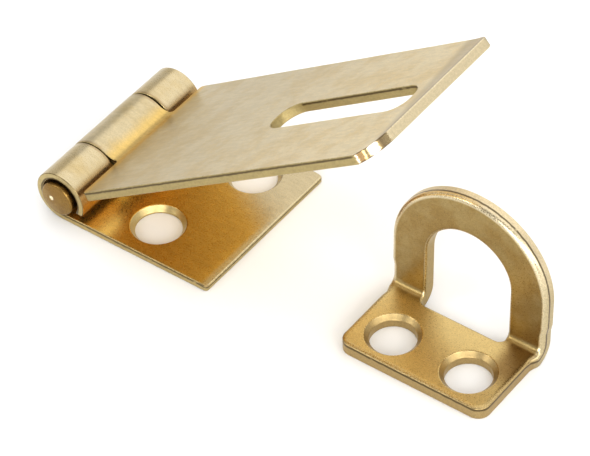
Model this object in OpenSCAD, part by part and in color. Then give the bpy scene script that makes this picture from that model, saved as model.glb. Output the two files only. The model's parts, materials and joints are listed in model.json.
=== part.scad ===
// Safety hasp and staple, 19 mm (3/4 in) wide, stamped and rolled from sheet.
// The strap swings on the barrel of the base leaf and folds down flat over the
// leaf's screws; the loop of the staple then stands up through its slot and
// takes a padlock.  The parts are drawn with the strap raised and the staple
// standing a little clear of its working place.
// Origin: middle of the base leaf's underside. +X runs from the barrel towards
// the leaf's free edge, +Y along the barrel, +Z up from the mounting face.

/* [Base leaf] */
// Width of the base leaf and of the strap
hasp_w = 19; // [18:0.5:22]
// Length of the leaf from the barrel's centre to its free edge
leaf_len = 18; // [17:0.5:24]
// Thickness of the leaf's sheet
leaf_t = 0.8; // [0.7:0.05:0.9]
// Radius of each screw hole in the leaf
leaf_hole_r = 2.35; // [1.8:0.05:2.5]
// Radius of the countersink at the leaf's top face
leaf_sink_r = 2.8; // [2.6:0.05:3]
// Depth of the countersink in the leaf
leaf_sink_depth = 0.4; // [0.2:0.05:0.5]

/* [Barrel] */
// Outer radius of the leaf's two knuckles
knuckle_r = 2.9; // [2.85:0.05:3.1]
// Outer radius of the strap's knuckle
strap_knuckle_r = 2.85; // [2.7:0.05:2.9]
// Length of the leaf's front knuckle
front_knuckle_len = 5.4; // [4:0.1:6]
// Length of the leaf's rear knuckle
rear_knuckle_len = 4.65; // [4:0.05:6]
// Side play between neighbouring knuckles
knuckle_gap = 0.15; // [0.1:0.05:0.4]
// Height of the rolled sheet's cut end above the mounting face
curl_end_z = 1.65; // [1.2:0.05:2]
// Radial play between the pin and the strap's knuckle
pin_play = 0.05; // [0.03:0.01:0.1]
// Radius of the pin's staked ends, inside the leaf's knuckles
pin_head_r = 1.9; // [1.85:0.05:1.95]
// Length of each staked end
pin_head_len = 1.5; // [1:0.1:3]
// How far the pin's rim stands out of the barrel at each end
pin_proud = 0.3; // [0:0.05:0.5]
// Height of the domes on the pin's ends
pin_dome = 0.35; // [0.2:0.05:0.5]

/* [Strap] */
// Thickness of the strap's sheet
strap_t = 1.05; // [0.9:0.05:1.1]
// Angle of the strap above the leaf
strap_angle = 34; // [25:1:90]
// Height of the strap's top face above the pin's centre
strap_rise = 0.1; // [0:0.05:0.4]
// Radius of the hollow curve where the knuckle runs out into the strap
root_r = 1.8; // [1:0.1:2]
// Distance from the pin to the shoulders beside the strap's knuckle
shoulder_u = 3.9; // [3.6:0.1:4.5]
// Distance from the pin to the near end of the slot
slot_u = 24.4; // [22:0.1:26]
// Length of the slot
slot_len = 18.8; // [18:0.1:22]
// Width of the slot
slot_w = 4.2; // [3.5:0.1:5]
// Radius of the slot's corners
slot_corner_r = 1.8; // [0.8:0.1:2]
// Angle of the finger lift at the strap's tip
tip_angle = 8; // [2:1:15]
// Radius of the finger lift's bend, on the top face
tip_bend_r = 15; // [10:1:16]
// Radius of the strap's rounded front corner
tip_corner_r = 5; // [2:0.5:6]

/* [Staple] */
// Distance from the barrel's centre to the middle of the staple
staple_x = 41.1; // [38:0.1:46]
// Place of the staple's front edge, across the hasp
staple_y = -8.55; // [-9.5:0.05:-8]
// Thickness of the staple's sheet
staple_t = 1.4; // [1.2:0.05:1.5]
// Length of the staple's plate
plate_len = 16.5; // [15:0.5:16.5]
// Distance from the plate's front edge to the loop's front face
plate_depth = 9.5; // [9:0.1:11]
// Radius of the plate's front corners
plate_corner_r = 1.3; // [0.5:0.1:2]
// Distance between the plate's two screw holes
plate_hole_spacing = 8.6; // [8:0.1:9]
// Distance from the plate's front edge to its screw holes
plate_hole_y = 3.6; // [3.2:0.1:4.2]
// Radius of each screw hole in the plate
plate_hole_r = 2.3; // [1.8:0.05:2.4]
// Radius of the countersink at the plate's top face
plate_sink_r = 2.75; // [2.5:0.05:2.9]
// Depth of the countersink in the plate
plate_sink_depth = 0.5; // [0.3:0.1:0.8]
// Outer radius of the loop
loop_r = 8.75; // [8.6:0.05:9]
// Radius of the loop's eye
eye_r = 4.7; // [3.5:0.1:5.5]
// Height of the eye's centre above the mounting face
eye_z = 7; // [6:0.1:9]
// Angle by which the loop leans back from square
loop_lean = 2.5; // [0:0.5:5]
// Inner radius of the bend between plate and loop
staple_bend_r = 0.7; // [0.5:0.1:1]

/* [Hidden] */
$fn = 96;

brass = [0.80, 0.71, 0.50];
pin_brass = [0.62, 0.47, 0.22];
over = 1;                       // how far a cutter runs past what it cuts
half_w = hasp_w / 2;
barrel_x = -leaf_len / 2;

pin_back = 0.1;                 // the pin lies to the back in the leaf's wider knuckles
pin_x = barrel_x - pin_back;
pin_z = knuckle_r;
bore_r = strap_knuckle_r - strap_t;
pin_r = bore_r - pin_play;
pin_len = hasp_w + 2 * pin_proud;
dome_r = (pow(pin_head_r, 2) + pow(pin_dome, 2)) / (2 * pin_dome);

// Leaf screw holes, staggered so that two screws don't split one line of grain.
leaf_holes = [[8.85, -5.3], [12.25, 5.8]];
notch_len = knuckle_r + 0.4;    // the leaf is cut back this far at the strap's knuckle
notch_front = -half_w + front_knuckle_len;
notch_rear = half_w - rear_knuckle_len;

// Strap: the hollow root curve's centre, and where the rolled sheet ends.
root_v = strap_rise + root_r;
root_u = sqrt(pow(strap_knuckle_r + root_r, 2) - pow(root_v, 2));
root_angle = atan2(root_v, root_u);
roll_end_angle = -35;
slot_y = 0.1;
tip_u = slot_u + slot_len + 0.2; // the finger lift starts just past the slot
flat_len = tip_u - root_u;
strap_end_u = tip_u + (tip_bend_r + strap_t / 2) * sin(tip_angle);
rear_corner_r = 0.6;
tip_corner_out = 1.2;           // the round corner's circle runs this far past the edge

// Staple: the bend's centre, the eye's foot in the plate, and the loop's width.
bend_y = plate_depth - staple_bend_r;
bend_z = staple_t + staple_bend_r;
bend_thin = 0.03;               // the sheet draws in by this much all round the bend
bend_lap = 4;                   // its ends run on by this angle inside the plate and legs
eye_foot = 0.35;                // the eye is cut this far into the flat plate
eye_corner_r = 0.7;
leg_half_w = loop_r - 0.15;     // the blank is a little narrower near the bend
leg_step_z = 3.8;

// Flat wedge from angle a0 to a1 about the origin, to cut or keep part of a ring.
module wedge(a0, a1, r) {
    mid = (a0 + a1) / 2;
    far = r / cos((a1 - a0) / 4);
    polygon([[0, 0],
             far * [cos(a0), sin(a0)],
             far * [cos(mid), sin(mid)],
             far * [cos(a1), sin(a1)]]);
}

// Part of a flat ring between two angles less than 180 degrees apart.
module ring_part(r_in, r_out, a0, a1) {
    intersection() {
        difference() {
            circle(r_out);
            circle(r_in);
        }
        wedge(a0, a1, 2 * r_out);
    }
}

// A side view, drawn as (x, z), made solid from y0 to y1.
module across(y0, y1) {
    translate([0, y1, 0])
        rotate([90, 0, 0])
            linear_extrude(y1 - y0)
                children();
}

// Rectangle with four round corners, its corner at the origin.
module round_slot(len, width, r) {
    translate([r, 0]) square([len - 2 * r, width]);
    translate([0, r]) square([len, width - 2 * r]);
    for (x = [r, len - r], y = [r, width - r])
        translate([x, y]) circle(r);
}

// Screw hole with a countersink that opens at height t.
module screw_hole(r, sink_r, sink_depth, t) {
    translate([0, 0, -over]) cylinder(h = t + 2 * over, r = r);
    translate([0, 0, t - sink_depth]) cylinder(h = sink_depth, r1 = r, r2 = sink_r);
    translate([0, 0, t]) cylinder(h = over, r = sink_r);
}

// Side view of the leaf: flat sheet, then rolled up and over into the knuckle.
module leaf_side() {
    square([leaf_len, leaf_t]);
    translate([0, knuckle_r]) difference() {
        circle(knuckle_r);
        circle(knuckle_r - leaf_t);
        translate([0, -knuckle_r - over])
            square([knuckle_r + over, curl_end_z + over]);
    }
}

module base_leaf() {
    color(brass) translate([barrel_x, 0, 0]) difference() {
        across(-half_w, half_w) leaf_side();
        translate([-knuckle_r - over, notch_front, -over])
            cube([knuckle_r + over + notch_len, notch_rear - notch_front,
                  2 * knuckle_r + 2 * over]);
        for (p = leaf_holes)
            translate([p[0], p[1], 0])
                screw_hole(leaf_hole_r, leaf_sink_r, leaf_sink_depth, leaf_t);
    }
}

// Side view of the strap about the pin's centre: knuckle, root, flat and tip.
module strap_side() {
    difference() {
        circle(strap_knuckle_r);
        circle(bore_r);
        wedge(roll_end_angle, root_angle, 2 * strap_knuckle_r);
    }
    translate([root_u, strap_rise]) {
        translate([0, root_r])
            ring_part(root_r, root_r + strap_t, 180 + root_angle, 270);
        translate([0, -strap_t]) square([flat_len, strap_t]);
        translate([flat_len, tip_bend_r])
            ring_part(tip_bend_r, tip_bend_r + strap_t, 270, 270 + tip_angle);
    }
}

// Plan of the strap: the knuckle's tongue, the wide part and its tip corners.
module strap_plan() {
    front = notch_front + knuckle_gap;
    rear = notch_rear - knuckle_gap;
    translate([-2 * strap_knuckle_r, front])
        square([2 * strap_knuckle_r + shoulder_u + over, rear - front]);
    difference() {
        translate([shoulder_u, -half_w])
            square([strap_end_u + over - shoulder_u, hasp_w]);
        tip_corner(tip_corner_r, -1, tip_corner_r - tip_corner_out);
        tip_corner(rear_corner_r, 1, rear_corner_r);
    }
}

// Cutter for a tip corner: side is -1 at the front and 1 at the rear, and inset
// is how far the round's centre lies inside the strap's edge.
module tip_corner(r, side, inset) {
    translate([strap_end_u - r, side * (half_w - inset)])
        scale([1, side, 1]) difference() {
            square([r + 2 * over, inset + over]);
            circle(r);
        }
}

module hasp_strap() {
    color(brass)
        translate([pin_x, 0, pin_z]) rotate([0, -strap_angle, 0]) difference() {
            intersection() {
                across(-half_w, half_w) strap_side();
                translate([0, 0, -2 * strap_knuckle_r])
                    linear_extrude(4 * strap_knuckle_r) strap_plan();
            }
            translate([slot_u, slot_y - slot_w / 2, -strap_t])
                linear_extrude(2 * strap_t)
                    round_slot(slot_len, slot_w, slot_corner_r);
        }
}

// Half section of the pin about its own axis: shank, staked end and dome.
module pin_half_section() {
    square([pin_r, pin_len / 2]);
    translate([0, pin_len / 2 - pin_head_len]) square([pin_head_r, pin_head_len]);
    translate([0, pin_len / 2]) intersection() {
        translate([0, pin_dome - dome_r]) circle(dome_r);
        square([pin_head_r, pin_dome]);
    }
}

module hinge_pin() {
    color(pin_brass) translate([pin_x, 0, pin_z])
        for (turn = [-90, 90]) rotate([turn, 0, 0])
            rotate_extrude() pin_half_section();
}

// Plan of the staple's plate, with the foot of the eye cut out of its back edge.
module plate_plan() {
    r = plate_corner_r;
    translate([-plate_len / 2, 0]) difference() {
        union() {
            translate([0, r]) square([plate_len, bend_y - r]);
            translate([r, 0]) square([plate_len - 2 * r, bend_y]);
            for (x = [r, plate_len - r]) translate([x, r]) circle(r);
            translate([plate_len / 2 - leg_half_w, bend_y - eye_foot])
                square([2 * leg_half_w, eye_foot]);
        }
        translate([plate_len / 2 - eye_r, bend_y - eye_foot])
            round_slot(2 * eye_r, 2 * over, eye_corner_r);
    }
}

// Front view of the loop, from the end of the bend upwards.
module loop_front() {
    top = eye_z - bend_z;
    step = leg_step_z - bend_z;
    difference() {
        union() {
            translate([-leg_half_w, 0]) square([2 * leg_half_w, step]);
            translate([-loop_r, step]) square([2 * loop_r, top - step]);
            translate([0, top]) intersection() {
                circle(loop_r);
                translate([-loop_r, 0]) square([2 * loop_r, loop_r]);
            }
        }
        translate([-eye_r, -over]) square([2 * eye_r, top + over]);
        translate([0, top]) circle(eye_r);
    }
}

// Bend under both legs about its own centre, its ends inside the plate and the legs.
module staple_bend() {
    for (x0 = [-leg_half_w, eye_r])
        translate([x0 + bend_thin, 0, 0]) rotate([90, 0, 90])
            linear_extrude(leg_half_w - eye_r - 2 * bend_thin)
                ring_part(staple_bend_r + bend_thin, bend_z - bend_thin,
                          270 - bend_lap, 360 - loop_lean + bend_lap);
}

module staple() {
    color(brass) translate([barrel_x + staple_x, staple_y, 0]) {
        difference() {
            linear_extrude(staple_t) plate_plan();
            for (side = [-1, 1])
                translate([side * plate_hole_spacing / 2, plate_hole_y, 0])
                    screw_hole(plate_hole_r, plate_sink_r, plate_sink_depth, staple_t);
        }
        translate([0, bend_y, bend_z]) {
            staple_bend();
            rotate([90 - loop_lean, 0, 0]) translate([0, 0, -bend_z])
                linear_extrude(staple_t) loop_front();
        }
    }
}

base_leaf();
hasp_strap();
hinge_pin();
staple();
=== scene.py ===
"""Looks of a small plated hasp and staple.

Every sheet-metal piece is laid out as a flat blank, the way it is stamped: an outline, holes and
an edge section. The blank is then bent by a function of its own length, which rolls the knuckles,
lifts the strap's tip or stands the staple's loop up. Lengths are in millimetres until a mesh is
made. The blank's coordinates stay on each piece as attributes, for its finish to follow.
"""
import json
import math

import bpy
import numpy as np
from mathutils import Matrix, Vector, geometry


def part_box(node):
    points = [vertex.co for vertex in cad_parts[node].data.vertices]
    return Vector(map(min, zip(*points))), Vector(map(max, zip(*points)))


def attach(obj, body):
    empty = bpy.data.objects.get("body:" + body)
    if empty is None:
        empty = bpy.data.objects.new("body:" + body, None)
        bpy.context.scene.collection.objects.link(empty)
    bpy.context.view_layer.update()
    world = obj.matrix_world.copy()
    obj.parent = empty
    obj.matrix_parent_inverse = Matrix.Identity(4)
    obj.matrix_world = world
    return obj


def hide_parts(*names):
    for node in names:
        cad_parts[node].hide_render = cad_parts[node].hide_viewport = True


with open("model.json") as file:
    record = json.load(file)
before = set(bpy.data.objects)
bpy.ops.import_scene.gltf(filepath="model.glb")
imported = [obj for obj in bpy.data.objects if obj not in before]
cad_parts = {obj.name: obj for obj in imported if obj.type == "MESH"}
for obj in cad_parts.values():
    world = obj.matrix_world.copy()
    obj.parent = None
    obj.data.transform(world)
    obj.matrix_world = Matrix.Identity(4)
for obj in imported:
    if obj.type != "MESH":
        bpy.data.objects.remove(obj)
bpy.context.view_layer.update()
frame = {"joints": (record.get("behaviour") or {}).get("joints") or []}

MM = 0.001

# ---------------------------------------------------------------- places, from the frame

leaf_high = np.array(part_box("base_leaf")[1]) / MM
HINGE = next(joint for joint in frame["joints"] if joint["name"] == "strap_hinge")
PIN_X, _, PIN_Z = (value / MM for value in HINGE["pos_m"])
HALF_W = leaf_high[1]
LEAF_END = leaf_high[0]
STRAP_ANGLE = math.radians(34)      # how far the strap stands open
pin_low, pin_high = (np.array(corner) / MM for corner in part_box("hinge_pin"))
PIN_R = (pin_high[2] - pin_low[2]) / 2
PIN_END = pin_high[1]
staple_low, staple_high = (np.array(corner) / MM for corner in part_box("staple"))
STAPLE_X = (staple_low[0] + staple_high[0]) / 2
STAPLE_Y = staple_low[1]

# ---------------------------------------------------------------- sizes of the sheet metal

LEAF_LEN = 18.0
LEAF_T = 0.8
LEAF_R = 2.9            # outside of the leaf's knuckles
BARREL_X = LEAF_END - LEAF_LEN
LEAF_HOLES = ((8.85, -5.3), (12.25, 5.8))       # staggered
LEAF_HOLE_R = 2.35
LEAF_SINK = (0.45, 0.6)     # how much wider than the hole a countersink is, and how deep
FRONT_KNUCKLE = 5.4
REAR_KNUCKLE = 4.65
GAP = 0.15
NOTCH = 3.3
CURL_TURN = math.radians(295.5)     # how far the outside of the leaf's knuckles turns
CURL_Z = LEAF_R * (1 - math.cos(CURL_TURN))
CURL_INSIDE = 2 * math.pi - math.acos((LEAF_R - CURL_Z) / (LEAF_R - LEAF_T))
PIN_SHANK = 1.75
PIN_STAKED = 1.5        # length of the pin's wider ends
PIN_NECK = PIN_END - PIN_STAKED
DINT_X, DINT_Z = -0.5, 0.12     # the centre punch's dint, from the pin's axis

STRAP_T = 1.05
STRAP_R = 2.85          # outside of the strap's knuckle
RISE = 0.1
ROOT_R = 1.8
ROOT_V = RISE + ROOT_R
ROOT_U = math.sqrt((STRAP_R + ROOT_R) ** 2 - ROOT_V ** 2)
ROOT_ANGLE = math.atan2(ROOT_V, ROOT_U)
ROLL_END = math.radians(325)
SLOT_U, SLOT_LEN, SLOT_W, SLOT_Y, SLOT_CORNER = 24.4, 18.8, 4.2, 0.1, 1.8
TIP_R = 15.0
TIP_ANGLE = math.radians(8)
FLAT_LEN = SLOT_U + SLOT_LEN + 0.2 - ROOT_U
ROOT_LEN = ROOT_R * (math.pi / 2 - ROOT_ANGLE)
STRAP_END = FLAT_LEN + TIP_R * TIP_ANGLE
ROLL_LEN = STRAP_R * (ROLL_END - ROOT_ANGLE)
TIP_CORNER_R = 5.0
TIP_CORNER_A, TIP_CORNER_B = STRAP_END - TIP_CORNER_R, 3.8 - HALF_W     # its centre, on the blank
SLOT_START = SLOT_U - ROOT_U

STAPLE_T = 1.4
PLATE_HALF = 8.25
PLATE_DEPTH = 9.5
BEND_R = 0.7
BEND_Y = PLATE_DEPTH - BEND_R
BEND_Z = STAPLE_T + BEND_R
BEND_TURN = math.radians(90 - 2.5)
BEND_LEN = (BEND_R + STAPLE_T / 2) * BEND_TURN
LOOP_R, LEG_HALF, EYE_R = 8.75, 8.6, 4.7
EYE_S = BEND_Y + BEND_LEN + 7 - BEND_Z
STAPLE_HOLE_R, STAPLE_HOLE_Y, STAPLE_HOLE_X = 2.3, 3.6, 4.3
STAPLE_SINK = (0.45, 0.5)
EDGE_ROLL = 0.55        # how far the loop's front edge is rolled over


# ---------------------------------------------------------------- stamped blanks

def outline(corners, step=0.22):
    """Closed outline through corners (a, b, r), anticlockwise. Each corner is an arc of radius r
    that touches both straight runs: its centre is r to the inner side of where the run ends."""
    corners = np.array(corners, float)
    point, radius = corners[:, :2], corners[:, 2]
    run = np.roll(point, -1, 0) - point
    run /= np.linalg.norm(run, axis=1)[:, None]
    before = np.roll(run, 1, 0)
    turn = np.arctan2(before[:, 0] * run[:, 1] - before[:, 1] * run[:, 0], (before * run).sum(1))
    reach = radius * np.tan(np.abs(turn) / 2)
    starts = point - before * reach[:, None]
    ends = point + run * reach[:, None]
    pieces = []
    for i in range(len(corners)):
        side = np.sign(turn[i])
        centre = starts[i] + side * radius[i] * np.array([-before[i, 1], before[i, 0]])
        count = max(4, int(abs(turn[i]) * radius[i] / step) + 1)
        heading = math.atan2(*(starts[i] - centre)[::-1])
        angle = heading + turn[i] * np.linspace(0, 1, count)
        pieces.append(centre + radius[i] * np.stack([np.cos(angle), np.sin(angle)], 1))
        target = starts[(i + 1) % len(corners)]
        gaps = max(1, round(np.linalg.norm(target - ends[i]) / step))
        share = np.arange(1, gaps)[:, None] / gaps
        pieces.append(ends[i] + share * (target - ends[i]))
    loop = np.concatenate(pieces)
    return loop[np.linalg.norm(np.roll(loop, -1, 0) - loop, axis=1) > 0.02]


def ring(centre, radius, count=96):
    """A round hole's edge: a circle, anticlockwise."""
    angle = np.arange(count) * 2 * math.pi / count
    return np.array(centre) + radius * np.stack([np.cos(angle), np.sin(angle)], 1)


def inward(loop):
    """Unit normals of a closed outline, to the left of its direction of travel."""
    along = np.roll(loop, -1, 0) - np.roll(loop, 1, 0)
    along /= np.linalg.norm(along, axis=1)[:, None]
    return np.stack([-along[:, 1], along[:, 0]], 1)


def quarter(radius, count=5):
    """Quarter circle as (inset, drop): from lying flat to standing upright."""
    angle = np.linspace(0, math.pi / 2, count)
    return np.stack([radius * (1 - np.sin(angle)), radius * (1 - np.cos(angle))], 1)


def edge_section(thickness, top_r, low_r, sink=None):
    """Section of a stamped edge, from the top face over the wall to the underside, as rows of
    (inset, height, wall, edge). Both arrises are quarter circles; a countersink is a cone on top.
    wall is 1 on a sheared wall and 0.6 in a drilled hole."""
    hold = 0.06
    upper = quarter(top_r)
    lower = quarter(low_r)[::-1]
    top = thickness - upper[:, 1]
    rows = []
    if sink:
        width, depth = sink
        lip = 0.07
        rows += [(width + lip + hold, thickness, 0, 0),
                 (width + lip, thickness, 0, 0.5),
                 (width + lip * 0.4, thickness - lip * 0.25, 0.2, 1),
                 (width - 0.02, thickness - lip, 0.5, 0.5),
                 (width - 0.06, thickness - lip * 1.8, 0.6, 0),
                 (0.08, thickness - depth + lip, 0.6, 0),
                 (0.02, thickness - depth, 0.6, 0.2),
                 (0, thickness - depth - hold, 0.6, 0)]
    else:
        rows += [(top_r + hold, thickness, 0, 0)]
        bright = np.sin(np.linspace(0, math.pi, len(upper)))
        rows += list(zip(upper[:, 0], top, np.linspace(0, 1, len(upper)), bright))
        rows += [(0, thickness - top_r - hold / 2, 1, 0)]
    bright = np.sin(np.linspace(0, math.pi, len(lower)))
    full = 0.6 if sink else 1
    rows += [(0, low_r + hold / 2, full, 0)]
    rows += list(zip(lower[:, 0], lower[:, 1], np.linspace(full, 0, len(lower)), bright))
    rows += [(low_r + hold, 0, 0, 0)]
    return np.array(rows)


def within(points, loop):
    """True for points inside a closed outline: a ray to the right crosses it an odd number of times."""
    x, y = points[:, 0][:, None], points[:, 1][:, None]
    x0, y0 = loop.T
    x1, y1 = np.roll(loop, -1, 0).T
    crosses = (y0 > y) != (y1 > y)
    rise = np.where(y1 == y0, 1, y1 - y0)
    return (crosses & (x < x0 + (y - y0) / rise * (x1 - x0))).sum(1) % 2 == 1


def lattice(rows, spacing, loops):
    """Points of a rectangular grid that lie on the sheet, clear of its outline and holes."""
    first, last = loops[0][:, 1].min(), loops[0][:, 1].max()
    cols = np.linspace(first, last, int((last - first) / spacing) + 1)
    grid = np.stack(np.meshgrid(rows, cols, indexing="ij"), -1).reshape(-1, 2)
    keep = within(grid, loops[0])
    for hole in loops[1:]:
        keep &= ~within(grid, hole)
    grid = grid[keep]
    edge = np.concatenate(loops)
    clear = 0.14
    near = ((grid[:, None, :] - edge[None, :, :]) ** 2).sum(2).min(1)
    return grid[near > clear ** 2]


def face_triangles(loops, inner):
    """Triangles over a flat face with holes, through all points of its loops and of its lattice."""
    points = np.concatenate(loops + [inner])
    sizes = [len(loop) for loop in loops]
    starts = np.cumsum([0] + sizes[:-1])
    edges = np.concatenate([
        start + np.stack([np.arange(size), (np.arange(size) + 1) % size], 1)
        for start, size in zip(starts, sizes)])
    made = geometry.delaunay_2d_cdt(points.tolist(), edges.tolist(), [], 0, 1e-9)
    if len(made[0]) != len(points):
        raise ValueError("a blank's outline crosses itself")
    faces = np.array(made[2])
    middle = points[faces].mean(1)
    keep = within(middle, loops[0])
    for hole in loops[1:]:
        keep &= ~within(middle, hole)
    faces = faces[keep]
    a, b, c = points[faces].transpose(1, 0, 2)
    area = (b[:, 0] - a[:, 0]) * (c[:, 1] - a[:, 1]) - (b[:, 1] - a[:, 1]) * (c[:, 0] - a[:, 0])
    faces[area < 0] = faces[area < 0][:, ::-1]
    return faces[np.abs(area) > 1e-9]


def blank(outer, holes, rows, spacing):
    """A stamped sheet, flat. outer and each hole are (loop, section). Each edge is its section
    carried along its loop; lattices of points fill the two faces between the edges."""
    edges = [outer] + [(loop[::-1], section) for loop, section in holes]
    grids, marks, walls = [], [], []
    start = 0
    for loop, section in edges:
        normal = inward(loop)
        flat = loop[None] + section[:, :1, None] * normal[None]
        level = np.broadcast_to(section[:, 1][:, None, None], flat.shape[:2] + (1,))
        grids.append(np.concatenate([flat, level], 2))
        marks.append(np.broadcast_to(section[:, None, 2:4], flat.shape[:2] + (2,)).reshape(-1, 2))
        count, size = flat.shape[:2]
        index = start + np.arange(count * size).reshape(count, size)
        after = np.roll(index, -1, 1)
        quads = np.stack([index[:-1], index[1:], after[1:], after[:-1]], -1).reshape(-1, 4)
        walls.append(quads)
        start += count * size
    points = [grid.reshape(-1, 3) for grid in grids]
    faces = []
    for row, flip in ((0, False), (-1, True)):
        loops = [grid[row, :, :2] for grid in grids]
        inner = lattice(rows, spacing, loops)
        triangles = face_triangles(loops, inner)
        numbers, begin = [], 0
        for grid in grids:
            count, size = grid.shape[:2]
            numbers.append(begin + (row % count) * size + np.arange(size))
            begin += count * size
        numbers.append(start + np.arange(len(inner)))
        start += len(inner)
        height = grids[0][row, 0, 2]
        points.append(np.column_stack([inner, np.full(len(inner), height)]))
        marks.append(np.zeros((len(inner), 2)))
        triangles = np.concatenate(numbers)[triangles]
        faces.append(triangles[:, ::-1] if flip else triangles)
    return np.concatenate(points), np.concatenate(marks), np.concatenate(walls), np.concatenate(faces)


def swell(points, amount, size, seed=0.0):
    """Slight unevenness of rolled sheet: a sum of slow sine waves along and across, in millimetres."""
    a, b = points[:, 0] / size, points[:, 1] / size
    wave = np.sin(1.7 * a + 0.9 * b + seed) + np.sin(2.9 * b - 1.3 * a + 2.1 * seed)
    wave += 0.6 * np.sin(4.3 * a + 3.7 * b + 0.7 * seed)
    return amount * (wave / 2.6 - 1) / 2


def make_mesh(name, points, quads, triangles, attributes):
    """Puts arrays into a new smooth-shaded object. Points are in millimetres."""
    mesh = bpy.data.meshes.new(name)
    mesh.vertices.add(len(points))
    mesh.vertices.foreach_set("co", (np.asarray(points) * MM).ravel())
    corners = np.concatenate([np.asarray(quads).ravel(), np.asarray(triangles).ravel()]).astype(int)
    totals = np.concatenate([np.full(len(quads), 4), np.full(len(triangles), 3)])
    mesh.loops.add(len(corners))
    mesh.loops.foreach_set("vertex_index", corners)
    mesh.polygons.add(len(totals))
    mesh.polygons.foreach_set("loop_start", np.cumsum(totals) - totals)
    mesh.update(calc_edges=True)
    mesh.shade_smooth()
    for key, values in attributes.items():
        kind = "FLOAT_VECTOR" if values.ndim == 2 else "FLOAT"
        field = "vector" if values.ndim == 2 else "value"
        layer = mesh.attributes.new(key, kind, "POINT")
        layer.data.foreach_set(field, values.astype(np.float32).ravel())
    mesh.validate()
    piece = bpy.data.objects.new(name, mesh)
    bpy.context.scene.collection.objects.link(piece)
    return piece


def bent_piece(name, sheet, bend, uneven):
    """Bends a blank. The attributes are the blank's own coordinates, and where its walls and
    arrises are."""
    points, marks, quads, triangles = sheet
    moved = points.copy()
    amount, size, seed = uneven
    top = points[:, 2] / points[:, 2].max()
    moved[:, 2] += swell(points, amount, size, seed) * top
    attributes = {"blank": points, "wall": marks[:, 0], "arris": marks[:, 1]}
    return make_mesh(name, bend(moved), quads, triangles, attributes)


# ---------------------------------------------------------------- the four pieces

def roll_leaf(points):
    """Flat from under the barrel to the free edge, where the top face rolls down a little. Before
    that, the sheet follows a circle about the barrel's centre line, turning by its length over the
    circle's radius. Its cut end leans until it is level."""
    s, y, n = points.T
    dropped, lean_from, lean_over = 0.3, 12.5, 2.4
    n = n * (1 - dropped * np.clip(s - LEAF_LEN + 1, 0, 1) ** 2)
    lean = np.clip((-s - lean_from) / lean_over, 0, 1)
    turn = np.clip(-s / LEAF_R + (CURL_INSIDE - CURL_TURN) * n / LEAF_T * lean, 0, None)
    x = np.where(s > 0, s, -(LEAF_R - n) * np.sin(turn))
    z = np.where(s > 0, n, LEAF_R - (LEAF_R - n) * np.cos(turn))
    return np.column_stack([BARREL_X + x, y, z])


def base_leaf():
    """Leaf: a flat blank with two tongues, which roll up and over into the outer knuckles."""
    curl = -LEAF_R * CURL_TURN
    front, rear = FRONT_KNUCKLE - HALF_W, HALF_W - REAR_KNUCKLE
    shape = outline([
        (LEAF_LEN, -HALF_W, 0.35), (LEAF_LEN, HALF_W, 0.35), (curl, HALF_W, 0.3), (curl, rear, 0.3),
        (NOTCH, rear, 0.5), (NOTCH, front, 0.5), (curl, front, 0.3), (curl, -HALF_W, 0.3)])
    section = edge_section(LEAF_T, 0.16, 0.1)
    sunk = edge_section(LEAF_T, 0.1, 0.08, LEAF_SINK)
    holes = [(ring(hole, LEAF_HOLE_R), sunk) for hole in LEAF_HOLES]
    rows = np.concatenate([np.arange(curl, 0.3, 0.22), np.arange(0.6, LEAF_LEN, 0.5)])
    return bent_piece("leaf", blank((shape, section), holes, rows, 0.5), roll_leaf, (0.012, 2.4, 0.6))


def roll_strap(points):
    """Along the blank: the rolled knuckle about the pin, the hollow root curve the other way, the
    flat strap, and the lifted tip, each an arc whose turn is length over radius. The whole is
    then turned up about the pin."""
    s, y, n = points.T
    n = n - STRAP_T
    root = np.clip(-s, 0, ROOT_LEN) / ROOT_R
    roll = ROOT_ANGLE + np.clip(-s - ROOT_LEN, 0, None) / STRAP_R
    tip = np.clip(s - FLAT_LEN, 0, None) / TIP_R
    u = ROOT_U + np.clip(s, 0, FLAT_LEN) + (TIP_R - n) * np.sin(tip)
    v = RISE + TIP_R - (TIP_R - n) * np.cos(tip)
    in_root = (s < 0) & (s >= -ROOT_LEN)
    u = np.where(in_root, ROOT_U - (ROOT_R - n) * np.sin(root), u)
    v = np.where(in_root, RISE + ROOT_R - (ROOT_R - n) * np.cos(root), v)
    u = np.where(s < -ROOT_LEN, (STRAP_R + n) * np.cos(roll), u)
    v = np.where(s < -ROOT_LEN, (STRAP_R + n) * np.sin(roll), v)
    x = PIN_X + u * math.cos(STRAP_ANGLE) - v * math.sin(STRAP_ANGLE)
    z = PIN_Z + u * math.sin(STRAP_ANGLE) + v * math.cos(STRAP_ANGLE)
    return np.column_stack([x, y, z])


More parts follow.
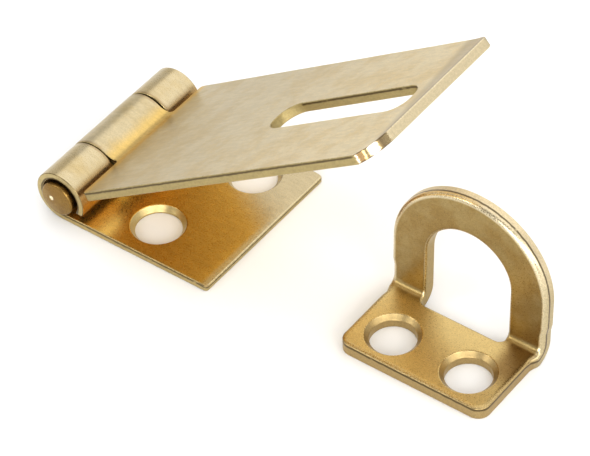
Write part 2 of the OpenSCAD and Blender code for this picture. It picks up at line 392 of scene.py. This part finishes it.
def hasp_strap():
    """Strap: a slotted blank with a tongue that rolls into the knuckle. One tip corner is cut round,
    in four flats."""
    curl = -ROOT_LEN - ROLL_LEN
    front, rear = FRONT_KNUCKLE - HALF_W + GAP, HALF_W - REAR_KNUCKLE - GAP
    shoulder = -0.35
    around = np.radians([-35, -20, -5])
    worn = [(TIP_CORNER_A + TIP_CORNER_R * a, TIP_CORNER_B + TIP_CORNER_R * b, 0.5)
            for a, b in zip(np.cos(around), np.sin(around))]
    shape = outline(worn + [
        (STRAP_END, HALF_W, 0.6), (shoulder, HALF_W, 0.35),
        (shoulder, rear, 0.35), (curl, rear, 0.3), (curl, front, 0.3), (shoulder, front, 0.35),
        (shoulder, -HALF_W, 0.35), (STRAP_END - 1.75, -HALF_W, 0.5)])
    start, stop = SLOT_START, SLOT_START + SLOT_LEN
    near, far = SLOT_Y - SLOT_W / 2, SLOT_Y + SLOT_W / 2
    slot = outline([(start, near, SLOT_CORNER), (stop, near, SLOT_CORNER),
                    (stop, far, SLOT_CORNER), (start, far, SLOT_CORNER)])
    rows = np.concatenate([np.arange(curl, 0.2, 0.2), np.arange(0.6, FLAT_LEN, 0.55),
                           np.arange(FLAT_LEN, STRAP_END, 0.25)])
    section = edge_section(STRAP_T, 0.09, 0.14)
    sheet = blank((shape, section), [(slot, section)], rows, 0.55)
    return bent_piece("strap", sheet, roll_strap, (0.014, 3.0, 1.9))


def fold_staple(points):
    """The plate lies flat. The bend turns by length over its middle radius, and the loop carries
    on straight from the end of the bend. The loop's front edge is rolled over by its full radius;
    round the plate the same roll is squeezed to a third of its depth."""
    x, s, n = points.T
    shallow = EDGE_ROLL * 0.3
    squeezed = STAPLE_T - np.interp(STAPLE_T - n, [0, EDGE_ROLL, STAPLE_T], [0, shallow, STAPLE_T])
    rim = (np.abs(x) > PLATE_HALF - 1.05) | (s < 0.72)
    n = n + (squeezed - n) * rim * np.clip((BEND_Y - s) / 1.5, 0, 1)
    turn = np.clip((s - BEND_Y) / BEND_LEN, 0, 1) * BEND_TURN
    rest = np.clip(s - BEND_Y - BEND_LEN, 0, None)
    y = np.minimum(s, BEND_Y) + (BEND_Z - n) * np.sin(turn) + rest * np.cos(turn)
    z = np.where(s > BEND_Y, BEND_Z - (BEND_Z - n) * np.cos(turn) + rest * np.sin(turn), n)
    return np.column_stack([STAPLE_X + x, STAPLE_Y + y, z])


def staple():
    """Staple: a plate with two sunk holes, and a loop round a D-shaped eye that starts in the plate."""
    top = EYE_S + LOOP_R
    widen, step = BEND_Y - 0.35, EYE_S - 3.2
    half = [(PLATE_HALF, 0, 1.3), (PLATE_HALF, widen - 0.4, 0.8), (LEG_HALF, widen + 0.5, 0.8),
            (LEG_HALF, step - 0.4, 0.8), (LOOP_R, step + 0.4, 0.8), (LOOP_R, top, LOOP_R)]
    shape = outline(half + [(-x, s, r) for x, s, r in half[::-1]])
    foot = BEND_Y - 0.35
    eye = outline([(-EYE_R, foot, 0.7), (EYE_R, foot, 0.7),
                   (EYE_R, EYE_S + EYE_R, EYE_R), (-EYE_R, EYE_S + EYE_R, EYE_R)])
    sunk = edge_section(STAPLE_T, 0.1, 0.1, STAPLE_SINK)
    holes = [(ring((x, STAPLE_HOLE_Y), STAPLE_HOLE_R), sunk) for x in (-STAPLE_HOLE_X, STAPLE_HOLE_X)]
    holes.append((eye, edge_section(STAPLE_T, 0.3, 0.12)))
    rows = np.linspace(-LOOP_R, LOOP_R, 40)
    points = blank((shape, edge_section(STAPLE_T, EDGE_ROLL, 0.07)), holes, rows, 0.3)
    return bent_piece("staple_loop", points, fold_staple, (0.014, 2.0, 3.1))


def hinge_pin():
    """Pin: its half section turned about its axis. Each end is wider where it was staked, and is a
    shallow dome with a soft rim and the small dint of a centre punch."""
    steps = np.linspace(0, 1, 18)
    belly, rim, rim_drop = 0.16, 0.3, 0.2
    turn = steps[1:] * math.pi / 2
    dome_r = np.concatenate([(PIN_R - rim) * steps, PIN_R - rim + rim * np.sin(turn)])
    dome_r[0] = 0.01
    drop = np.concatenate([belly * steps ** 2, belly + rim_drop * (1 - np.cos(turn))])
    radius = np.concatenate([dome_r, [PIN_R, PIN_SHANK, PIN_SHANK, PIN_R], dome_r[::-1]])
    taper = PIN_NECK - 0.2
    middle = [PIN_NECK, taper, -taper, -PIN_NECK]
    along = np.concatenate([PIN_END - drop, middle, (drop - PIN_END)[::-1]])
    count = 96
    angle = np.arange(count) * 2 * math.pi / count
    staked = np.abs(along)[:, None] > PIN_NECK
    flats = 1 - 0.012 * (1 - np.cos(5 * angle + 1.1)) * staked
    x = radius[:, None] * np.cos(angle) * flats
    z = radius[:, None] * np.sin(angle) * flats
    on_dome = np.abs(along)[:, None] > PIN_NECK + 1
    dint = 0.2 * np.exp(-((x - DINT_X) ** 2 + (z - DINT_Z) ** 2) / 0.2 ** 2) * on_dome
    y = along[:, None] - np.sign(along)[:, None] * dint
    points = np.stack([PIN_X + x, y, PIN_Z + z], 2).reshape(-1, 3)
    points = np.concatenate([points, [[PIN_X, y[0].mean(), PIN_Z], [PIN_X, y[-1].mean(), PIN_Z]]])
    rings = len(radius)
    index = np.arange(rings * count).reshape(rings, count)
    after = np.roll(index, -1, 1)
    quads = np.stack([index[:-1], after[:-1], after[1:], index[1:]], -1).reshape(-1, 4)
    first = np.stack([np.full(count, rings * count), after[0], index[0]], 1)
    last = np.stack([np.full(count, rings * count + 1), index[-1], after[-1]], 1)
    return make_mesh("pin", points, quads, np.concatenate([first, last]), {})


# ---------------------------------------------------------------- camera, lights, floor

def viewpoint():
    """A long lens that looks down on the front corner of the barrel side."""
    turn, lift, roll = math.radians(38.47), math.radians(44.03), math.radians(-2.79)
    back = Vector((math.sin(turn) * math.cos(lift), -math.cos(turn) * math.cos(lift), math.sin(lift)))
    right = Vector((math.cos(turn), math.sin(turn), 0))
    up = back.cross(right)
    across = right * math.cos(roll) + up * math.sin(roll)
    upward = up * math.cos(roll) - right * math.sin(roll)
    aim = Vector((BARREL_X, -HALF_W, 0)) + 22.96 * across - 0.89 * upward
    distance = 324.23
    camera = bpy.data.cameras.new("camera")
    camera.sensor_width = 36
    camera.lens = 200.39
    camera.clip_start = 0.01
    eye = bpy.data.objects.new("camera", camera)
    matrix = Matrix((across, upward, back)).transposed().to_4x4()
    matrix.translation = (aim + distance * back) * MM
    eye.matrix_world = matrix
    bpy.context.scene.collection.objects.link(eye)
    bpy.context.scene.camera = eye


def softbox(name, place, aim, size, power):
    """A square soft light, aimed at a point. Places are in millimetres."""
    lamp = bpy.data.lights.new(name, "AREA")
    lamp.shape = "SQUARE"
    lamp.size = size * MM
    lamp.energy = power
    holder = bpy.data.objects.new(name, lamp)
    holder.location = Vector(place) * MM
    direction = Vector(aim) - Vector(place)
    holder.rotation_euler = direction.to_track_quat("-Z", "Y").to_euler()
    bpy.context.scene.collection.objects.link(holder)


def surround():
    """Surround that is brightest at the horizon behind the object, and dimmer overhead and on the
    viewer's side: the floor and the room of a small studio."""
    world = bpy.data.worlds.new("surround")
    world.use_nodes = True
    tree = world.node_tree
    look = tree.nodes.new("ShaderNodeTexCoord")
    parts = node(tree, "ShaderNodeSeparateXYZ", Vector=look.outputs["Generated"])
    height = spread(tree, parts.outputs["Z"], 0.05, 0.75, HORIZON, OVERHEAD)
    toward = node(tree, "ShaderNodeVectorMath", {"operation": "DOT_PRODUCT"})
    tree.links.new(look.outputs["Generated"], toward.inputs[0])
    toward.inputs[1].default_value = (0.62, -0.78, 0)
    front = spread(tree, toward.outputs["Value"], -0.1, 0.8, 1.0, VIEWER_SIDE)
    level = maths(tree, "MULTIPLY", height, front)
    tree.links.new(level, tree.nodes["Background"].inputs["Strength"])
    tree.nodes["Background"].inputs["Color"].default_value = (1, 1, 1, 1)
    bpy.context.scene.world = world


def studio():
    """Pale floor, the surround and five soft lights."""
    surround()
    aim = (10, 0, 8)
    softbox("overhead", (20, 200, 470), aim, 900, 2.8)
    softbox("front_right", (190, -350, 150), aim, 280, 1.0)
    softbox("front_left", (-190, -290, 230), aim, 130, 0.32)
    softbox("right_front", (357, -142, 194), aim, 150, 0.45)
    softbox("right_side", (420, 40, 150), aim, 220, 0.42)
    reach, below = 3000, -0.02
    corners = [(-reach, -reach, below), (reach, -reach, below), (reach, reach, below), (-reach, reach, below)]
    floor = make_mesh("floor", np.array(corners), np.array([[0, 1, 2, 3]]), np.zeros((0, 3), int), {})
    material, shader = metal_or_paper("floor_paper", 0, 0.9)
    shader.inputs["Base Color"].default_value = (0.9, 0.9, 0.895, 1)
    shader.inputs["Specular IOR Level"].default_value = 0.1
    floor.data.materials.append(material)
    bpy.context.scene.view_settings.view_transform = "Standard"


# ---------------------------------------------------------------- colours and light levels

PALE, DEEP = (0.54, 0.445, 0.27), (0.5, 0.385, 0.195)       # the leaf's and the strap's plate
GOLD, DEEP_GOLD = (0.37, 0.27, 0.11), (0.31, 0.205, 0.07)       # the staple's grainier plate
SHEAR_LINE = (0.07, 0.045, 0.02)
# painted brown shade beside the slits between the knuckles
SLIT_SHADE = (0.26, 0.15, 0.06)

LEAF_WALL = (0.52, 0.41, 0.19)
CREASE_SHADE = (0.5, 0.27, 0.07)      # painted shade where the knuckles meet the strap
# painted reflection of the strap on the leaf under it, strongest by the barrel
NEAR_STRAP_REFLECTION, FAR_STRAP_REFLECTION = (1.0, 0.66, 0.16), (0.5, 0.325, 0.085)
LEAF_PALE = (0.45, 0.365, 0.215)
# painted highlight along the leaf's rolled free edge
FREE_EDGE_HIGHLIGHT = (0.9, 0.8, 0.55)
DULL_ARRIS = (0.2, 0.14, 0.06)

STRAP_WALL = (0.4, 0.31, 0.13)
# painted light: the strap's underside made brighter, which also brightens its reflection in the leaf
BRIGHTENED_UNDERSIDE = (0.95, 0.72, 0.36)
ROOT_GOLD = (0.66, 0.44, 0.12)
# painted shade: a darker band along the lifted tip, and a darker line just before its end
TIP_SHADE, TIP_FOLD_SHADE = (0.36, 0.27, 0.15), (0.28, 0.2, 0.11)
# painted highlight along the strap's end edge
END_EDGE_HIGHLIGHT = (1, 0.92, 0.7)
END_WALL = (0.62, 0.52, 0.33)
CORNER_GLINTS = (       # painted highlights and dark reflections round the tip corner, from the strap's front wall to its end wall
    (0.0, (0.08, 0.05, 0.02)), (0.03, (0.3, 0.22, 0.12)), (0.07, (0.75, 0.65, 0.48)),
    (0.1, (0.17, 0.1, 0.04)), (0.2, (0.2, 0.12, 0.05)), (0.225, (0.75, 0.55, 0.25)),
    (0.25, (0.75, 0.55, 0.25)), (0.275, (0.12, 0.08, 0.03)), (0.33, (0.3, 0.22, 0.12)),
    (0.4, (0.95, 0.88, 0.74)), (0.52, (0.95, 0.88, 0.74)), (0.58, (0.24, 0.17, 0.08)),
    (0.66, (0.1, 0.07, 0.035)), (0.86, (0.16, 0.12, 0.06)))

# the crown's wall colour is painted light: the upward-facing wall over the crown made paler
LOOP_WALL, LIT_CROWN_WALL = (0.52, 0.42, 0.24), (0.7, 0.58, 0.37)
PLATE_WALL, EYE_WALL = (0.42, 0.3, 0.13), (0.4, 0.29, 0.12)
# painted light: the flat plate made brighter than the upright loop of the same sheet
LIT_PLATE_GOLD = (0.62, 0.45, 0.18)
# painted highlight along the loop's rolled edge
LOOP_EDGE_HIGHLIGHT = (0.95, 0.84, 0.58)
FOOT_SHADE = (0.22, 0.12, 0.035)

PIN_AMBER, PIN_BROWN = (0.32, 0.2, 0.055), (0.24, 0.135, 0.035)
# painted highlight in the pin's dint
DINT_HIGHLIGHT = (1, 0.88, 0.6)

HORIZON, OVERHEAD, VIEWER_SIDE = 1.0, 0.5, 0.5      # the surround's brightness


# ---------------------------------------------------------------- finishes

def node(tree, kind, settings=None, **inputs):
    """Adds a node. Inputs are values or other nodes' outputs; an underscore in a name is a space."""
    made = tree.nodes.new(kind)
    for key, value in (settings or {}).items():
        setattr(made, key, value)
    for key, value in inputs.items():
        feed(tree, made.inputs[key.replace("_", " ")], value)
    return made


def feed(tree, socket, value):
    if isinstance(value, bpy.types.NodeSocket):
        tree.links.new(value, socket)
    else:
        socket.default_value = value


def maths(tree, operation, *values):
    made = tree.nodes.new("ShaderNodeMath")
    made.operation = operation
    for socket, value in zip(made.inputs, values):
        feed(tree, socket, value)
    return made.outputs[0]


def product(tree, *values):
    """All values multiplied together."""
    made = values[0]
    for value in values[1:]:
        made = maths(tree, "MULTIPLY", made, value)
    return made


def total(tree, *values):
    """All values added together."""
    made = values[0]
    for value in values[1:]:
        made = maths(tree, "ADD", made, value)
    return made


def away_from(tree, value, place):
    """Distance from a place along one coordinate."""
    return maths(tree, "ABSOLUTE", maths(tree, "SUBTRACT", value, place))


def spread(tree, value, low, high, at_low=0.0, at_high=1.0):
    """Smooth step: at_low below low, at_high above high."""
    made = node(tree, "ShaderNodeMapRange", {"interpolation_type": "SMOOTHSTEP"}, Value=value,
                From_Min=low, From_Max=high, To_Min=at_low, To_Max=at_high)
    return made.outputs[0]


def fade(tree, value, low, high):
    """Smooth step down: 1 below low, 0 above high."""
    return spread(tree, value, low, high, 1.0, 0.0)


def grey(tree, level):
    """A colour whose three parts are the same."""
    return node(tree, "ShaderNodeCombineColor", Red=level, Green=level, Blue=level).outputs[0]


def blend(tree, share, under, over, kind="MIX"):
    made = tree.nodes.new("ShaderNodeMix")
    made.data_type = "RGBA"
    made.blend_type = kind
    for index, value in ((0, share), (6, under), (7, over)):
        if isinstance(value, tuple):
            value = (*value, 1)
        feed(tree, made.inputs[index], value)
    return made.outputs[2]


def noise(tree, place, scale, detail=2.0, roughness=0.5):
    return node(tree, "ShaderNodeTexNoise", Vector=place, Scale=scale, Detail=detail,
                Roughness=roughness).outputs["Fac"]


def shader_group(name, inputs, outputs):
    """An empty node group with named float or vector inputs and float outputs."""
    group = bpy.data.node_groups.new(name, "ShaderNodeTree")
    for key, kind in inputs:
        group.interface.new_socket(key, in_out="INPUT", socket_type=kind)
    for key in outputs:
        group.interface.new_socket(key, in_out="OUTPUT", socket_type="NodeSocketFloat")
    return group, group.nodes.new("NodeGroupInput").outputs, group.nodes.new("NodeGroupOutput").inputs


def plate_grain():
    """Grain of plated sheet, from the blank's own coordinates in millimetres: slow clouds, fine
    drawn streaks along the sheet, and the sparkle of the satin plate."""
    group, given, result = shader_group(
        "plate_grain", [("Blank", "NodeSocketVector"), ("Draw", "NodeSocketFloat")],
        ["Cloud", "Streak", "Sparkle", "Height"])
    place = given["Blank"]
    cloud = noise(group, place, 0.33, 4.0, 0.6)
    stretch = node(group, "ShaderNodeCombineXYZ", Y=1.0, Z=1.0, X=given["Draw"]).outputs[0]
    drawn = node(group, "ShaderNodeVectorMath", {"operation": "MULTIPLY"})
    group.links.new(place, drawn.inputs[0])
    group.links.new(stretch, drawn.inputs[1])
    streak = noise(group, drawn.outputs[0], 3.2, 3.0, 0.65)
    sparkle = noise(group, place, 8.0, 2.0, 0.6)
    height = total(group, product(group, sparkle, 0.6), product(group, streak, 0.5))
    group.links.new(cloud, result["Cloud"])
    group.links.new(streak, result["Streak"])
    group.links.new(sparkle, result["Sparkle"])
    group.links.new(height, result["Height"])
    return group


def sheared_edge():
    """What shearing leaves on a wall: a ragged dark line just under the upper arris, broken by
    noise along the edge, and a torn lower half. Depth is the distance down from the top face."""
    group, given, result = shader_group(
        "sheared_edge", [("Blank", "NodeSocketVector"), ("Wall", "NodeSocketFloat"),
                         ("Depth", "NodeSocketFloat"), ("Line_Depth", "NodeSocketFloat")],
        ["Line", "Torn"])
    wander = noise(group, given["Blank"], 1.6, 3.0, 0.6)
    low = total(group, given["Line_Depth"], product(group, wander, 0.16))
    off = maths(group, "ABSOLUTE", maths(group, "SUBTRACT", given["Depth"], low))
    broken = spread(group, noise(group, given["Blank"], 1.1, 2.0), 0.2, 0.36)
    sheared = spread(group, given["Wall"], 0.7, 0.9)
    line = product(group, fade(group, off, 0.06, 0.15), broken, sheared)
    torn = product(group, spread(group, noise(group, given["Blank"], 5.0, 3.0), 0.4, 0.7), given["Wall"])
    group.links.new(line, result["Line"])
    group.links.new(torn, result["Torn"])
    return group


def metal_or_paper(name, metallic, rough):
    """A bare material and its shader."""
    material = bpy.data.materials.new(name)
    material.use_nodes = True
    shader = material.node_tree.nodes["Principled BSDF"]
    shader.inputs["Metallic"].default_value = metallic
    shader.inputs["Roughness"].default_value = rough
    return material, shader


def place_group(tree, group, **inputs):
    made = tree.nodes.new("ShaderNodeGroup")
    made.node_tree = group
    for key, value in inputs.items():
        feed(tree, made.inputs[key], value)
    return made.outputs


def plated(name, thickness, tint, deep, side, satin, zones, grit, draw=0.25, line_depth=0.1):
    """Satin brass plate on stamped sheet. tint and deep are the plate's pale and deep colours,
    side is the colour of the sheared walls and grit is how coarse the satin is. zones adds the
    piece's local colours, painted light and shade among them, and says where its walls keep their
    dark line and where it is burnished."""
    material, shader = metal_or_paper(name, 1, satin)
    tree = material.node_tree
    blank_at = node(tree, "ShaderNodeAttribute", {"attribute_name": "blank"}).outputs["Vector"]
    wall = node(tree, "ShaderNodeAttribute", {"attribute_name": "wall"}).outputs["Fac"]
    arris = node(tree, "ShaderNodeAttribute", {"attribute_name": "arris"}).outputs["Fac"]
    parts = node(tree, "ShaderNodeSeparateXYZ", Vector=blank_at).outputs
    depth = maths(tree, "SUBTRACT", thickness, parts["Z"])
    grain = place_group(tree, GRAIN, Blank=blank_at, Draw=draw)
    shear = place_group(tree, SHEAR, Blank=blank_at, Wall=wall, Depth=depth, Line_Depth=line_depth)
    colour = blend(tree, spread(tree, grain["Cloud"], 0.38, 0.66), tint, deep)
    walls = blend(tree, product(tree, shear["Torn"], 0.35), side, tuple(0.6 * c for c in side))
    walled = spread(tree, wall, 0.0, 0.55)
    colour, line_kept, burnished = zones(tree, colour, walls, parts, grain, walled, arris)
    speckle = spread(tree, grain["Sparkle"], 0.3, 0.7, 1 - 0.1 * grit, 1 + 0.07 * grit)
    streaks = spread(tree, grain["Streak"], 0.3, 0.7, 0.93, 1.05)
    colour = blend(tree, 1.0, colour, grey(tree, product(tree, speckle, streaks)), "MULTIPLY")
    colour = blend(tree, product(tree, shear["Line"], line_kept, 0.85), colour, SHEAR_LINE)
    tree.links.new(colour, shader.inputs["Base Color"])
    rough = spread(tree, grain["Sparkle"], 0.25, 0.75, satin - 0.06, satin + 0.08)
    rough = total(tree, rough, product(tree, wall, 0.1), product(tree, arris, -0.12),
                  product(tree, burnished, -0.2))
    tree.links.new(rough, shader.inputs["Roughness"])
    relief = product(tree, grain["Height"], maths(tree, "SUBTRACT", 1.0, burnished))
    bump = node(tree, "ShaderNodeBump", Strength=0.5, Distance=0.000018 * grit, Height=relief)
    tree.links.new(bump.outputs[0], shader.inputs["Normal"])
    return material


def gap_shade(tree, colour, parts, front, rear):
    """Painted brown shade beside the two slits between the knuckles, on the rolled part of a blank."""
    by_front = fade(tree, away_from(tree, parts["Y"], front), 0.1, 0.42)
    by_rear = fade(tree, away_from(tree, parts["Y"], rear), 0.1, 0.42)
    rolled = fade(tree, parts["X"], -3.0, -2.0)
    share = product(tree, maths(tree, "MAXIMUM", by_front, by_rear), rolled, 0.55)
    return blend(tree, share, colour, SLIT_SHADE)


def leaf_zones(tree, colour, walls, parts, grain, wall, arris):
    """The leaf: a painted amber reflection of the strap under it, paler towards the rear corner of the free
    edge, and painted brown shade where its knuckles meet the strap. Its free edge carries a painted
    highlight and its front arris is dull."""
    along, across = parts["X"], parts["Y"]
    colour = gap_shade(tree, colour, parts, FRONT_KNUCKLE - HALF_W, HALF_W - REAR_KNUCKLE)
    # painted shade where the knuckles meet the strap
    colour = blend(tree, spread(tree, along, -12.4, -11.0, 0.8, 0.0), colour, CREASE_SHADE)
    free_edge = spread(tree, along, LEAF_LEN - 0.9, LEAF_LEN - 0.4)
    slant = total(tree, product(tree, along, 0.55), product(tree, across, 0.83),
                  product(tree, grain["Cloud"], 2.0))
    pale = maths(tree, "MAXIMUM", spread(tree, slant, 8.8, 12.4), free_edge)
    # painted reflection of the strap, strongest by the barrel
    painted_reflection = blend(tree, spread(tree, along, 3, 9), NEAR_STRAP_REFLECTION, FAR_STRAP_REFLECTION)
    colour = blend(tree, spread(tree, along, -1.0, 1.0), colour, blend(tree, pale, painted_reflection, LEAF_PALE))
    # painted highlight along the rolled free edge
    colour = blend(tree, product(tree, arris, free_edge, 0.7), colour, FREE_EDGE_HIGHLIGHT)
    colour = blend(tree, product(tree, wall, 0.9), colour, walls)
    dull = product(tree, arris, spread(tree, across, 0.3 - HALF_W, 0.6 - HALF_W, 0.9, 0.0))
    return blend(tree, dull, colour, DULL_ARRIS), 1.0, 0.0


def corner_highlights(tree, parts, grain):
    """Painted highlights and reflections round the strap's tip corner, by the angle about its centre, and
    where they lie.
    """
    along, across = parts["X"], parts["Y"]
    angle = maths(tree, "ARCTAN2", maths(tree, "SUBTRACT", across, TIP_CORNER_B),
                  maths(tree, "SUBTRACT", along, TIP_CORNER_A))
    angle = total(tree, angle, product(tree, maths(tree, "SUBTRACT", grain["Sparkle"], 0.5), 0.08))
    corner = product(tree, spread(tree, along, TIP_CORNER_A + 3.2, TIP_CORNER_A + 3.3),
                     fade(tree, angle, -0.14, -0.08), fade(tree, across, -3, -2.5))
    share = node(tree, "ShaderNodeMapRange", Value=angle, From_Min=-0.88, From_Max=0.0).outputs[0]
    marks = node(tree, "ShaderNodeValToRGB", Fac=share)
    stops = marks.color_ramp.elements
    for place, _ in CORNER_GLINTS[2:]:
        stops.new(place)
    for stop, (place, tone) in zip(stops, CORNER_GLINTS):
        stop.position = place
        stop.color = (*tone, 1)
    return marks.outputs["Color"], corner


def strap_zones(tree, colour, walls, parts, grain, wall, arris):
    """The strap: painted light that makes it brighter towards its tip and underneath, a golden band
    in the hollow root, a painted shade band along the lifted end with a painted highlight on its
    end edge, a pale end wall, and a smoother round corner with painted highlights and reflections."""
    along, across = parts["X"], parts["Y"]
    colour = gap_shade(tree, colour, parts, FRONT_KNUCKLE - HALF_W + GAP, HALF_W - REAR_KNUCKLE - GAP)
    # painted light: the strap is made brighter towards its tip
    colour = blend(tree, 1.0, colour, grey(tree, spread(tree, along, 8, 40, 0.98, 1.34)), "MULTIPLY")
    # painted light: the underside is made brighter
    under = product(tree, fade(tree, parts["Z"], 0.1, 0.3), spread(tree, along, -1, 0))
    colour = blend(tree, under, colour, BRIGHTENED_UNDERSIDE)
    ragged = total(tree, along, product(tree, grain["Streak"], 1.6))
    root = product(tree, spread(tree, along, -2.6, -1.2), fade(tree, ragged, 0.7, 1.7), 0.8)
    colour = blend(tree, root, colour, ROOT_GOLD)
    # painted shade along the lifted tip, then a darker line just before the end
    slant = total(tree, along, product(tree, across, 0.11), grain["Streak"])
    shade_band = spread(tree, slant, STRAP_END - 1.5, STRAP_END - 0.3)
    colour = blend(tree, product(tree, shade_band, 0.6), colour, TIP_SHADE)
    fold_shade = product(tree, spread(tree, along, STRAP_END - 0.5, STRAP_END - 0.4),
                   fade(tree, along, STRAP_END - 0.25, STRAP_END - 0.15), 0.55)
    colour = blend(tree, fold_shade, colour, TIP_FOLD_SHADE)
    # painted highlight along the top arris of the end edge
    edge_glint = product(tree, arris, spread(tree, along, STRAP_END - 0.14, STRAP_END - 0.08))
    colour = blend(tree, edge_glint, colour, END_EDGE_HIGHLIGHT)
    walls = blend(tree, spread(tree, along, STRAP_END - 0.12, STRAP_END - 0.05), walls, END_WALL)
    # painted highlights and reflections on the round corner's walls
    marks, corner = corner_highlights(tree, parts, grain)
    walls = blend(tree, corner, walls, marks)
    colour = blend(tree, product(tree, wall, 0.95), colour, walls)
    slot_end = spread(tree, along, SLOT_START + 1.4, SLOT_START + 1.8)
    beside_slot = spread(tree, maths(tree, "ABSOLUTE", across), 3, 4)
    before_corner = fade(tree, along, TIP_CORNER_A + 3.1, TIP_CORNER_A + 3.3)
    line_kept = product(tree, maths(tree, "MAXIMUM", beside_slot, slot_end), before_corner)
    return colour, line_kept, product(tree, corner, wall)


def staple_zones(tree, colour, walls, parts, grain, wall, arris):
    """The staple: painted light that makes the plate brighter than the loop, painted shade in the plate's
    corner by the right leg's foot, and a painted highlight on the loop's rolled edge. Its walls are
    painted paler over the crown as painted light, darker round the plate and inside the eye, and the
    eye's wall has no dark line."""
    across, along = parts["X"], parts["Y"]
    plate = fade(tree, along, BEND_Y - 1.0, BEND_Y + 0.5)
    # painted light: the flat plate is made brighter than the loop
    colour = blend(tree, product(tree, plate, 0.8), colour, LIT_PLATE_GOLD)
    # painted highlight along the loop's rolled edge
    painted_glint = product(tree, arris, spread(tree, along, BEND_Y, BEND_Y + 1.5, 0.0, 0.9),
                     spread(tree, parts["Z"], 0.3, 0.6))
    colour = blend(tree, painted_glint, colour, LOOP_EDGE_HIGHLIGHT)
    foot = product(tree, spread(tree, total(tree, across, grain["Cloud"]), 4.9, 6.9),
                   spread(tree, along, 2.8, 5.6), fade(tree, along, BEND_Y, BEND_Y + 0.6), 0.8)
    colour = blend(tree, foot, colour, FOOT_SHADE)
    walls = blend(tree, plate, walls, PLATE_WALL)
    # painted light: the upward-facing wall over the crown made paler
    walls = blend(tree, spread(tree, along, EYE_S, EYE_S + EYE_R), walls, LIT_CROWN_WALL)
    eye = product(tree, spread(tree, along, BEND_Y - 0.6, BEND_Y - 0.4),
                  fade(tree, along, EYE_S + EYE_R + 0.4, EYE_S + EYE_R + 0.6),
                  fade(tree, maths(tree, "ABSOLUTE", across), EYE_R + 0.4, EYE_R + 0.7))
    walls = blend(tree, eye, walls, EYE_WALL)
    colour = blend(tree, product(tree, wall, 0.9), colour, walls)
    return colour, maths(tree, "SUBTRACT", 1.0, eye), 0.0


def pin_plate():
    """The pin: deep amber plate, with a painted highlight in the front dint."""
    material, shader = metal_or_paper("pin_plate", 1, 0.3)
    tree = material.node_tree
    place = node(tree, "ShaderNodeTexCoord").outputs["Object"]
    place = node(tree, "ShaderNodeVectorMath", {"operation": "SCALE"}, Vector=place, Scale=1 / MM).outputs[0]
    grain = place_group(tree, GRAIN, Blank=place, Draw=1.0)
    colour = blend(tree, spread(tree, grain["Cloud"], 0.4, 0.65), PIN_AMBER, PIN_BROWN)
    away = node(tree, "ShaderNodeVectorMath", {"operation": "DISTANCE"})
    tree.links.new(place, away.inputs[0])
    away.inputs[1].default_value = (PIN_X + DINT_X, pin_low[1] + 0.12, PIN_Z + DINT_Z)
    # painted highlight in the front dint
    painted_glint = fade(tree, away.outputs["Value"], 0.16, 0.34)
    colour = blend(tree, painted_glint, colour, DINT_HIGHLIGHT)
    tree.links.new(colour, shader.inputs["Base Color"])
    tree.links.new(spread(tree, grain["Sparkle"], 0.3, 0.7, 0.24, 0.36), shader.inputs["Roughness"])
    bump = node(tree, "ShaderNodeBump", Strength=0.6, Distance=0.00004, Height=grain["Height"])
    tree.links.new(bump.outputs[0], shader.inputs["Normal"])
    return material


# ---------------------------------------------------------------- the scene

GRAIN = plate_grain()
SHEAR = sheared_edge()
viewpoint()
studio()
PIECES = (
    (base_leaf(), "base_leaf", "leaf", "plated_leaf",
     plated("leaf_plate", LEAF_T, PALE, DEEP, LEAF_WALL, 0.3, leaf_zones, 0.5)),
    (hasp_strap(), "hasp_strap", "strap", "plated_strap",
     plated("strap_plate", STRAP_T, PALE, DEEP, STRAP_WALL, 0.34, strap_zones, 1.0)),
    (hinge_pin(), "hinge_pin", "leaf", "pin", pin_plate()),
    (staple(), "staple", "staple", "plated_staple",
     plated("staple_plate", STAPLE_T, GOLD, DEEP_GOLD, LOOP_WALL, 0.32, staple_zones, 1.5,
            draw=1.0, line_depth=0.53)),
)
for piece, stands_for, body, slot, material in PIECES:
    piece.data.materials.append(material)
    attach(piece, body)
    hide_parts(stands_for)
